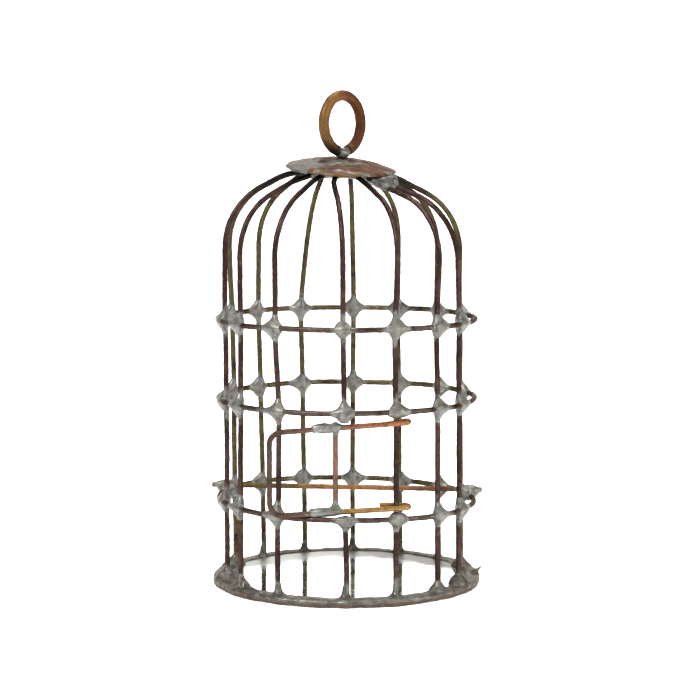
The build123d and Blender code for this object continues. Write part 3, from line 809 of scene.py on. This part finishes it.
def fold(points):
    """Distance to the fold of foil."""
    turn = np.degrees(np.arctan2(points[:, 0], -points[:, 1]))
    share = np.clip((turn - FOLD_FROM) / FOLD_SPAN, 0, 1)
    turn = np.radians(FOLD_FROM + FOLD_SPAN * share)
    rho, up = FOLD_IN + FOLD_OUT * share, FOLD_TOP - FOLD_FALL * share
    crest = np.stack([rho * np.sin(turn), -rho * np.cos(turn), up], -1)
    return np.linalg.norm(points - crest, axis=1) - FOLD_THICK


def rim_field(points):
    """The rim: a rounded band with a flat underside, drawn up round every foot, heaped up at both sides."""
    rho = np.hypot(points[:, 0], points[:, 1])
    uneven = ripple(points, 6.5, 0.07, 801) + ripple(points, 1.8, 0.03, 802)
    dx = np.abs(rho - RIM_MID) - (RIM_HALF - RIM_ROUND)
    dz = np.abs(points[:, 2] - RIM_TOP / 2) - (RIM_TOP / 2 - RIM_ROUND)
    outside = np.hypot(np.maximum(dx, 0), np.maximum(dz, 0))
    whole = outside + np.minimum(np.maximum(dx, dz), 0) - RIM_ROUND - uneven
    for number, (name, foot) in enumerate(feet.items()):
        near = np.hypot(points[:, 0] - foot[0], points[:, 1] - foot[1]) < FOOT_ROOM
        local = points[near]
        rel = local - foot
        rng = np.random.default_rng(820 + number)
        coat = np.hypot(rel[:, 0], rel[:, 1]) - coated(rel[:, 2], rng.uniform(1.5, 2.4), FOOT_DOWN, FOOT_FILM)
        joined = smooth_min(whole[near], coat, rng.uniform(1.1, 1.7))
        if name in BIG_FEET:
            size = np.array(BIG_FEET[name])
            heap = (np.linalg.norm((rel + (0, 0, 0.2)) / size, axis=1) - 1) * size.min()
            joined = smooth_min(joined, heap + ripple(local, 1.4, 0.08, 850 + number), HEAP_BLEND)
        whole[near] = joined
    whole = smooth_min(whole, spike(points, BURR_ROOT, BURR_TIP, BURR_THICK, BURR_THIN), BURR_BLEND)
    whole = smooth_min(whole, fold(points), FOLD_BLEND)
    return np.maximum(whole, -points[:, 2])


rim_part = mesh_field(rim_field, RIM_LOW, RIM_HIGH, RIM_VOXEL)
make_piece("rim_and_feet", [rim_part], "cage", ["rim_solder", "foot_solder"], rim_material())

# The glass, its paint and the foil stay as they are in CAD, and only get their materials.
base_materials = {"mirror_glass": mirror_material(), "mirror_backing": backing_material(),
                  "edge_foil": foil_material()}
for node, material in base_materials.items():
    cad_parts[node].data.materials.clear()
    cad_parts[node].data.materials.append(material)


# ---- cap and ring -------------------------------------------------------------------------------

CAP_RINGS, CAP_SPOKES = 46, 220
CAP_ROUND = 0.035       # how much of the cap's radius its rounded edge takes

cap_points, _ = cad_mesh("cap_disc")
cap_local = np.stack([(cap_points - cap_centre) @ axis for axis in (cap_side, cap_ahead, cap_up)], -1)
cap_radius = np.hypot(cap_local[:, 0], cap_local[:, 1]).max()
cap_low, cap_high = cap_local[:, 2].min(), cap_local[:, 2].max()
cap_rise = cap_high - cap_low - CAP_THICK


def cap_layer(level):
    """Points of the cap's top, where level is 1, or of its underside, where it is -1."""
    turns = np.arange(CAP_SPOKES) * 2 * math.pi / CAP_SPOKES
    waves = 0.006 * np.sin(3 * turns + 1) + 0.005 * np.sin(7 * turns) + 0.003 * np.sin(17 * turns)
    outline = cap_radius * (0.992 + waves)
    rings = []
    for share in np.sqrt(np.linspace(0.0004, 1, CAP_RINGS)):
        edge = max(0.0, (share - 1 + CAP_ROUND) / CAP_ROUND)
        half = CAP_THICK / 2 * math.sqrt(max(1 - edge**2, 0.02))
        x, y = outline * share * np.cos(turns), outline * share * np.sin(turns)
        z = cap_low + cap_rise * (1 - share**2) + CAP_THICK / 2 + level * half
        rings.append(np.stack([x, y, np.full(CAP_SPOKES, z)], -1))
    return np.vstack(rings)


def cap_disc():
    """A domed disc with hammer marks and an uneven, rounded edge: its points, faces and flat places."""
    flat = np.vstack([cap_layer(1), cap_layer(-1)])
    flat[:, 2] += ripple(flat * (1, 1, 0), 3.4, 0.10, 901) + ripple(flat * (1, 1, 0), 1.3, 0.035, 902)
    count = CAP_RINGS * CAP_SPOKES
    last = count - CAP_SPOKES
    spokes = [(a, (a + 1) % CAP_SPOKES) for a in range(CAP_SPOKES)]
    faces = []
    for start in (0, count):
        for first in range(start, start + last, CAP_SPOKES):
            second = first + CAP_SPOKES
            faces.extend([first + a, first + b, second + b, second + a] for a, b in spokes)
    faces.extend([last + a, last + b, count + last + b, count + last + a] for a, b in spokes)
    faces.append(list(range(CAP_SPOKES)))
    faces.append([count + a for a in range(CAP_SPOKES)])
    points = cap_centre + flat[:, :1] * cap_side + flat[:, 1:2] * cap_ahead + flat[:, 2:] * cap_up
    return points, faces, flat


# Smears of solder, with a painted highlight along the front edge, and dark spots on the cap: place from its
# middle, size, and strength.
CAP_SMEARS_AND_EDGE_HIGHLIGHT = [((-7.6, -1.5), (3.6, 5.5), 1.1), ((-8.6, -5.0), (2.2, 3.0), 0.9),
              ((-0.2, -3.6), (2.4, 2.0), 0.8), ((-4.4, -6.3), (4.0, 1.4), 0.7),
              # The thin strip at (0.5, -9.3), along the front edge, is a painted highlight of the cap's lit
              # edge.
              ((0.5, -9.3), (7.0, 0.7), 0.6), ((9.4, -4.6), (1.8, 1.8), 0.8)]
CAP_DARK_SPOTS = [((-3.4, -3.4), (1.3, 1.5), 0.9), ((0.6, 1.0), (2.6, 1.3), 0.6)]
SPOT_EDGE, SPOT_SOFT = 0.38, 0.22       # the strength at which a spot starts to show, and its soft edge


def painted(flat, spots, seed):
    """Soft ragged spots on the cap, as a mark from 0 to 1."""
    total = np.zeros(len(flat))
    for (x, y), (wide, deep), strength in spots:
        total += strength * np.exp(-((flat[:, 0] - x) / wide) ** 2 - ((flat[:, 1] - y) / deep) ** 2)
    ragged = total + ripple(flat * (1, 1, 0), 1.9, 0.16, seed) + ripple(flat * (1, 1, 0), 0.7, 0.08, seed + 1)
    return np.clip((ragged - SPOT_EDGE) / SPOT_SOFT, 0, 1)


points, faces, flat = cap_disc()
marks = {"tin": painted(flat, CAP_SMEARS_AND_EDGE_HIGHLIGHT, 911), "dark": painted(flat, CAP_DARK_SPOTS, 915)}
make_piece("cap", [(points, faces)], "cage", ["cap_disc"], cap_material(), marks)

HUB_UP = 79.9           # height of the puddle of solder under the cap
HUB_MOUNDS = ((0, 0, 0.3), (2.4, 1.0, 0), (-2.2, 1.4, 0), (0.2, -2.6, -0.1))
HUB_MOUND = (4.6, 4.6, 1.5)
HUB_VOXEL = 0.17
BAR_END_STEPS = 11      # how many points back a bar's end direction is read from

# The lump at the cap's front right: its place, its mounds from there, and their half sizes.
LUMP_PLACE = np.array([6.9, -5.6, 77.9])
LUMP_MOUNDS = ((0, 0, 0), (1.3, 1.6, 0.2), (-2.0, -1.2, 0.1))
LUMP_SIZES = ((1.7, 1.6, 0.95), (1.5, 1.5, 0.8), (1.3, 1.1, 0.6))


def hub():
    """The puddle under the cap, drawn out along every bar that ends in it."""
    wires = []
    for name in BARS:
        if name != "bar_01_below_door":
            end, before = bar_lines[name][-1], bar_lines[name][-1 - BAR_END_STEPS]
            wires.append((end, unit(before - end), 2.6, 1.0, 0.16))
    middle = np.array([cap_centre[0], 0.0, HUB_UP])
    return bead_round([middle + mound for mound in HUB_MOUNDS], [HUB_MOUND] * len(HUB_MOUNDS), wires,
                      middle - (9, 9, 4.5), middle + (9, 9, 2.2), voxel=HUB_VOXEL, web=1.4, seed=921)


def cap_lump():
    """The lump at the cap's front right, drawn along the two bars it sits on."""
    wires = []
    for name in ("bar_03", "bar_04"):
        line = bar_lines[name]
        i = int(np.argmin(np.linalg.norm(line - LUMP_PLACE, axis=1)))
        wires.append((line[i], unit(line[i] - line[i - 3]), 2.2, 2.4, 0.22))
    return bead_round([LUMP_PLACE + mound for mound in LUMP_MOUNDS], LUMP_SIZES, wires,
                      LUMP_PLACE - (5, 5, 3), LUMP_PLACE + (5, 5, 3), web=1.4, seed=931)


# This solder's darker patches are partly painted shade of the cap.
make_piece("cap_underside_solder", [hub(), cap_lump()], "cage", ["cap_solder"], browned_and_shaded_solder)

RING_FOOT_UP = 83.0         # height of the solder in the ring's gap
RING_BEAD = (1.35, 1.35, 1.0)
RING_BEAD_ROOM = 3.2

ring_points, _ = cad_mesh("hanging_ring")
ring_top = ring_points[ring_points[:, 2] > ring_points[:, 2].max() - 0.02].mean(0) - (0, 0, RING_RADIUS)
*_, ring_normal = round_frame("hanging_ring")
ring_way = unit(np.cross(ring_normal, (0, 0, 1)))
ring_line = both_ways("hanging_ring", ring_top, ring_way, RING_RADIUS)
ring_foot = np.array([ring_top[0], ring_top[1], RING_FOOT_UP])
shape = tube(ring_line, RING_RADIUS, sides=30, dent=0.035, seed=941)
make_wire("hanging_ring_wire", "hanging_ring", shape, [ring_foot], ring_copper,
          reach=1.9, seed=942)
ring_wires = [(ring_line[0], unit(ring_line[6] - ring_line[0]), 1.5, 0.8, 0.05),
              (ring_line[-1], unit(ring_line[-7] - ring_line[-1]), 1.5, 0.8, 0.05)]
ring_bead = bead_round([ring_foot - (0, 0, 0.1)], [RING_BEAD], ring_wires, ring_foot - RING_BEAD_ROOM,
                       ring_foot + RING_BEAD_ROOM, web=0.9, seed=951)
make_piece("ring_foot_solder", [ring_bead], "cage", ["ring_solder"], solder)


# ---- door ---------------------------------------------------------------------------------------


def nearest(line, point):
    """Which point of a line is nearest to a place."""
    return int(np.argmin(np.linalg.norm(line - point, axis=1)))


door_points, _ = cad_mesh("door_frame")
door_left = door_points[:, 0].min() + WIRE_RADIUS
free_side = door_points[door_points[:, 0] < door_left + WIRE_RADIUS]
door_start = np.array([door_left, (free_side[:, 1].max() + free_side[:, 1].min()) / 2,
                       (door_points[:, 2].max() + door_points[:, 2].min()) / 2])
door_line = both_ways("door_frame", door_start, (0, 0, 1), step=0.15)
upright_line = bar_line("door_bar")
bottom_spot = door_line[nearest(door_line, upright_line[0])]
top_spot = door_line[nearest(door_line, upright_line[-1])]
rail_way = unit(top_spot - door_line[nearest(door_line, top_spot) - 8])
up = np.array([0, 0, 1.0])

shape = tube(door_line, WIRE_RADIUS, seed=1001)
make_wire("door_wire", "door_frame", shape, [top_spot - (1.6, 0, 0), bottom_spot - (1.4, 0, 0)],
          door_copper, body="door", reach=2.7, seed=1002)
shape = tube(upright_line, WIRE_RADIUS, seed=1011)
make_wire("door_upright_wire", "door_bar", shape, [bottom_spot, top_spot], upright_copper,
          body="door", reach=1.4, seed=1012)

# The beads lie along the rails, to the left of the upright, and run a little way up or down it.
top_wires = [(top_spot - (1.5, 0, 0), rail_way, 2.8, 2.8, 0.14), (top_spot + (0, 1.0, 0), up, 0.8, 1.4, 0.12)]
top_bead = bead_round([top_spot + (-2.3, -0.25, 0.02)], [(1.75, 0.72, 0.78)], top_wires,
                      top_spot - (6, 2.6, 2.6), top_spot + (3.4, 2.6, 2.6), web=1.0, seed=1021)
make_piece("door_top_bead", [top_bead], "door", ["door_solder_top"], solder)
bottom_wires = [(bottom_spot - (1.6, 0, 0), rail_way, 2.6, 3.0, 0.10),
                (bottom_spot + (0, 1.0, 0.3), up, 1.6, 0.3, 0.10)]
bottom_bead = bead_round([bottom_spot + (-2.4, -0.1, 0.05)], [(1.9, 0.66, 0.62)], bottom_wires,
                         bottom_spot - (6, 2.6, 2.6), bottom_spot + (3.4, 2.6, 2.9), web=1.2, seed=1031)
make_piece("door_bottom_bead", [bottom_bead], "door", ["door_solder_bottom"], solder)


# ---- stage, light, camera -----------------------------------------------------------------------

# Lengths here are in metres.
FLOOR_HALF, FLOOR_GLOW = 4.0, 0.64
CARD_HALF, CARD_BACK, CARD_TOP, CARD_GLOW = 1.6, 1.5, 1.3, 1.0
ROOM_LIGHT, BACKDROP_LIGHT = 0.42, 1.05
LIGHTS = {"key": ((-0.35, -0.45, 0.55), 0.35, 7), "fill": ((0.55, -0.35, 0.30), 0.40, 3.5),
          "top": ((0.05, 0.15, 0.80), 0.50, 6)}     # place, size and watts
LIGHT_AIM = (0, 0, 0.04)
CAMERA_PLACE = (0.00065, -0.4316, 0.0907)
CAMERA_DOWN = 6.03      # how many degrees the camera looks down
CAMERA_LENS, CAMERA_SENSOR = 115.7, 36      # mm


def make_card(name, corners, tones, glow):
    """A plain white plane that glows a little, and isn't part of the object."""
    mesh = bpy.data.meshes.new(name)
    mesh.from_pydata(corners, [], [(0, 1, 2, 3)])
    shader = Shader(f"{name}_white")
    tone = shader.ramp(shader.noise(400, 2, 0.5), [(0.3, tones[0]), (0.7, tones[1])])
    shader.bsdf.inputs["Emission Color"].default_value = (1, 1, 1, 1)
    shader.bsdf.inputs["Emission Strength"].default_value = glow
    mesh.materials.append(shader.finish(tone, 0.0, 0.9))
    card = bpy.data.objects.new(name, mesh)
    bpy.context.scene.collection.objects.link(card)


def make_floor():
    """The pale floor that the cage stands on."""
    half = FLOOR_HALF
    corners = [(-half, -half, 0), (half, -half, 0), (half, half, 0), (-half, half, 0)]
    make_card("floor", corners, (0.955, 0.97), FLOOR_GLOW)


def make_backdrop():
    """A bright white card behind the cage, which the mirror reflects."""
    half, back, top = CARD_HALF, CARD_BACK, CARD_TOP
    corners = [(-half, back, 0), (half, back, 0), (half, back, top), (-half, back, top)]
    make_card("backdrop", corners, (0.90, 0.92), CARD_GLOW)


def make_world():
    """A white studio: the backdrop is seen white, and the room's own light is dimmer than the lamps."""
    world = bpy.data.worlds.new("studio")
    world.use_nodes = True
    tree = world.node_tree
    room = tree.nodes["Background"]
    room.inputs["Color"].default_value = (1, 0.99, 0.98, 1)
    room.inputs["Strength"].default_value = ROOM_LIGHT
    backdrop = tree.nodes.new("ShaderNodeBackground")
    backdrop.inputs["Color"].default_value = (1, 1, 1, 1)
    backdrop.inputs["Strength"].default_value = BACKDROP_LIGHT
    seen = tree.nodes.new("ShaderNodeLightPath").outputs["Is Camera Ray"]
    choose = tree.nodes.new("ShaderNodeMixShader")
    tree.links.new(seen, choose.inputs[0])
    tree.links.new(room.outputs[0], choose.inputs[1])
    tree.links.new(backdrop.outputs[0], choose.inputs[2])
    tree.links.new(choose.outputs[0], tree.nodes["World Output"].inputs["Surface"])
    bpy.context.scene.world = world


def make_light(name, place, size, watts):
    """A round soft lamp, aimed at the cage's middle."""
    data = bpy.data.lights.new(name, "AREA")
    data.shape = "DISK"
    data.size = size
    data.energy = watts
    light = bpy.data.objects.new(name, data)
    light.location = place
    light.rotation_euler = (Vector(LIGHT_AIM) - Vector(place)).to_track_quat("-Z", "Y").to_euler()
    bpy.context.scene.collection.objects.link(light)


def make_camera():
    """A long lens level with the cage's ring, looking slightly down on it."""
    data = bpy.data.cameras.new("camera")
    data.sensor_width = CAMERA_SENSOR
    data.lens = CAMERA_LENS
    data.clip_start = 0.01
    camera = bpy.data.objects.new("camera", data)
    camera.location = CAMERA_PLACE
    camera.rotation_euler = (math.radians(90 - CAMERA_DOWN), 0, 0)
    bpy.context.scene.collection.objects.link(camera)
    bpy.context.scene.camera = camera


make_floor()
make_backdrop()
for name, (place, size, watts) in LIGHTS.items():
    make_light(name, place, size, watts)
make_world()
bpy.context.scene.view_settings.view_transform = "Standard"
make_camera()
